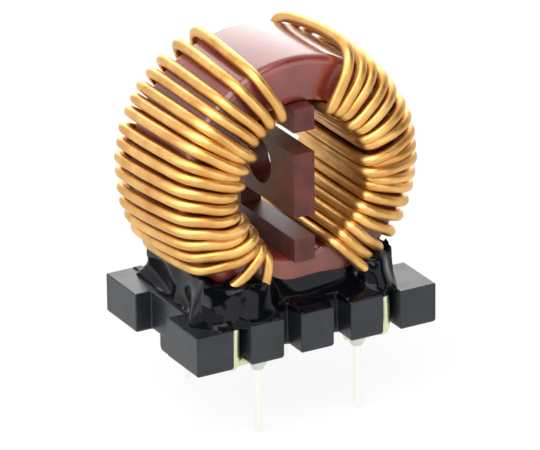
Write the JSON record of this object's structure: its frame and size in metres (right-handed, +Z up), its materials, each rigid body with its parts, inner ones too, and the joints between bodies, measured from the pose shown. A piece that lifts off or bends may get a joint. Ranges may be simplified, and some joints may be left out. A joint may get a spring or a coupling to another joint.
{
  "type": "toroidal inductor",
  "caption": "Upright toroidal common mode choke: a cased ring core with two copper windings and a divider in its bore, bonded on edge to a slotted header with pins for a circuit board.",
  "frame": {"origin": "centre of the seating plane, which is the underside of the header's stand-off feet, in the middle of the four pins", "axes": "+Z up, away from the circuit board; +X along the header's long side, from the left winding to the right one; +Y to the back, along the core's axis"},
  "size_m": [0.0248, 0.0168, 0.0349],
  "materials": {
    "header": "moulded, satin",
    "core_case": "moulded, glossy",
    "divider": "moulded, satin",
    "magnetic_core": "tape wound",
    "winding": "enamelled copper wire",
    "pin": "tinned",
    "solder": "solder",
    "adhesive": "poured and cured, glossy"
  },
  "bodies": {
    "root": {"header": "header", "core_case": "core_case", "core_cover": "core_case", "magnetic_core": "magnetic_core", "divider": "divider", "winding_left": "winding", "winding_right": "winding", "pin_front_left": "pin", "pin_front_right": "pin", "pin_back_left": "pin", "pin_back_right": "pin", "solder_front_left": "solder", "solder_front_right": "solder", "solder_back_left": "solder", "solder_back_right": "solder", "adhesive": "adhesive"}
  },
  "joints": []
}
